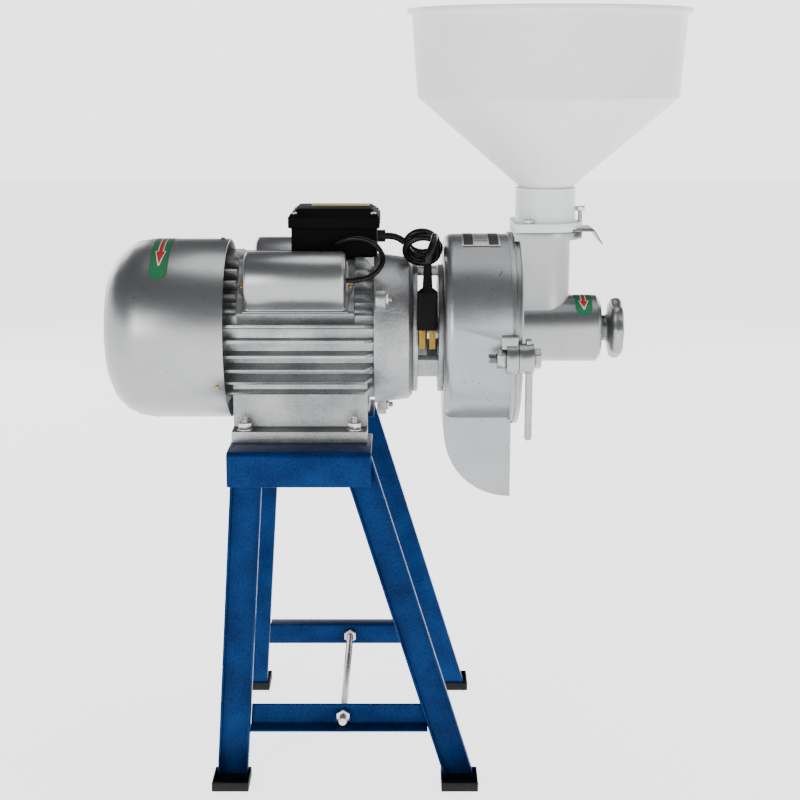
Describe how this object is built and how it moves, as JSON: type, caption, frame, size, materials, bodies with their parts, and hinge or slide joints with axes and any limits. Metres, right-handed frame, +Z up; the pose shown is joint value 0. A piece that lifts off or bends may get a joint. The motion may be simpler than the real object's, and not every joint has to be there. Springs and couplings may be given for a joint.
{
  "type": "grain disc mill",
  "caption": "Electric disc mill: finned motor on a splayed steel stand drives a grinding drum with chute, throat casting, funnel hopper and handwheel.",
  "frame": {"origin": "centre of the machine's box on the floor, under the four foot caps", "axes": "+X along the motor shaft from the fan cowl to the handwheel, -Y the side with the mains cord, +Z up"},
  "size_m": [0.5922, 0.2892, 0.772],
  "materials": {
    "stand_paint": "glossy blue enamel",
    "silver_paint": "silver paint on castings and sheet",
    "rough_silver_paint": "silver paint on rough sand casting",
    "zinc_steel": "zinc plated",
    "bare_steel": "machined steel",
    "core_iron": "varnished laminated iron",
    "disc_iron": "bare cast iron, ground teeth",
    "winding_varnish": "varnished copper winding, resin bound",
    "can_plastic": "moulded capacitor can",
    "fan_plastic": "moulded",
    "box_plastic": "moulded black, satin",
    "foot_rubber": "moulded black rubber",
    "collar_plastic": "moulded pale green-white",
    "hopper_plastic": "thin translucent white moulding",
    "cord_rubber": "black sheath",
    "plug_plastic": "moulded black",
    "blade_brass": "bare brass"
  },
  "bodies": {
    "base": {"near_top_rail": "stand_paint", "far_top_rail": "stand_paint", "near_left_leg": "stand_paint", "near_right_leg": "stand_paint", "far_left_leg": "stand_paint", "far_right_leg": "stand_paint", "near_cross_bar": "stand_paint", "far_cross_bar": "stand_paint", "near_left_foot_cap": "foot_rubber", "near_right_foot_cap": "foot_rubber", "far_left_foot_cap": "foot_rubber", "far_right_foot_cap": "foot_rubber", "tie_rod": "zinc_steel", "motor_frame": "silver_paint", "near_left_foot_bolt": "zinc_steel", "near_right_foot_bolt": "zinc_steel", "far_left_foot_bolt": "zinc_steel", "far_right_foot_bolt": "zinc_steel", "near_capacitor_cover": "silver_paint", "far_capacitor_cover": "silver_paint", "near_capacitor": "can_plastic", "far_capacitor": "can_plastic", "fan_cowl": "silver_paint", "front_end_bell": "rough_silver_paint", "rear_end_bell": "rough_silver_paint", "stator_core": "core_iron", "rear_winding": "winding_varnish", "front_winding": "winding_varnish", "front_bearing": "bare_steel", "rear_bearing": "bare_steel", "junction_box": "box_plastic", "junction_lid": "box_plastic", "connecting_bracket": "rough_silver_paint", "grinding_drum": "silver_paint", "near_clamp_bolt": "zinc_steel", "far_clamp_bolt": "zinc_steel", "front_cover": "silver_paint", "fixed_disc": "disc_iron", "hopper_collar": "collar_plastic", "hopper": "hopper_plastic", "cord_gland": "cord_rubber", "power_cord": "cord_rubber", "cord_coil": "cord_rubber", "cord_tail": "cord_rubber", "capacitor_lead": "cord_rubber", "plug_body": "plug_plastic", "left_plug_blade": "blade_brass", "right_plug_blade": "blade_brass"},
    "rotor": {"motor_shaft": "bare_steel", "rotor_core": "core_iron", "cooling_fan": "fan_plastic"},
    "mill_disc": {"moving_disc": "disc_iron", "disc_carrier": "bare_steel", "feed_screw": "bare_steel"},
    "adjuster": {"thrust_plug": "bare_steel"},
    "wheel": {"handwheel": "zinc_steel", "adjusting_screw": "zinc_steel"},
    "gate": {"slide_gate": "bare_steel"},
    "near_handle": {"near_clamp_handle": "bare_steel"},
    "far_handle": {"far_clamp_handle": "bare_steel"}
  },
  "joints": [
    {"name": "rotor_spin", "type": "hinge", "parent": "base", "child": "rotor", "pos_m": [0, 0, 0.451], "axis": [1, 0, 0], "continuous": true},
    {"name": "disc_travel", "type": "slide", "parent": "rotor", "child": "mill_disc", "axis": [1, 0, 0], "range_m": [0, 0.0012]},
    {"name": "adjuster_travel", "type": "slide", "parent": "base", "child": "adjuster", "axis": [1, 0, 0], "range_m": [0, 0.0012]},
    {"name": "wheel_turn", "type": "hinge", "parent": "adjuster", "child": "wheel", "pos_m": [0.2, 0, 0.451], "axis": [1, 0, 0], "range_deg": [0, 216]},
    {"name": "gate_travel", "type": "slide", "parent": "base", "child": "gate", "axis": [1, 0, 0], "range_m": [0, 0.048]},
    {"name": "near_handle_turn", "type": "hinge", "parent": "base", "child": "near_handle", "pos_m": [0.1282, -0.1146, 0.4406], "axis": [1, 0, 0], "range_deg": [-100, 0]},
    {"name": "far_handle_turn", "type": "hinge", "parent": "base", "child": "far_handle", "pos_m": [0.1282, 0.1146, 0.4406], "axis": [1, 0, 0], "range_deg": [0, 100]}
  ],
  "couplings": [
    {"joint": "wheel_turn", "follows": "adjuster_travel", "rad_per_m": 3141.6},
    {"joint": "disc_travel", "follows": "adjuster_travel", "ratio": 1}
  ]
}
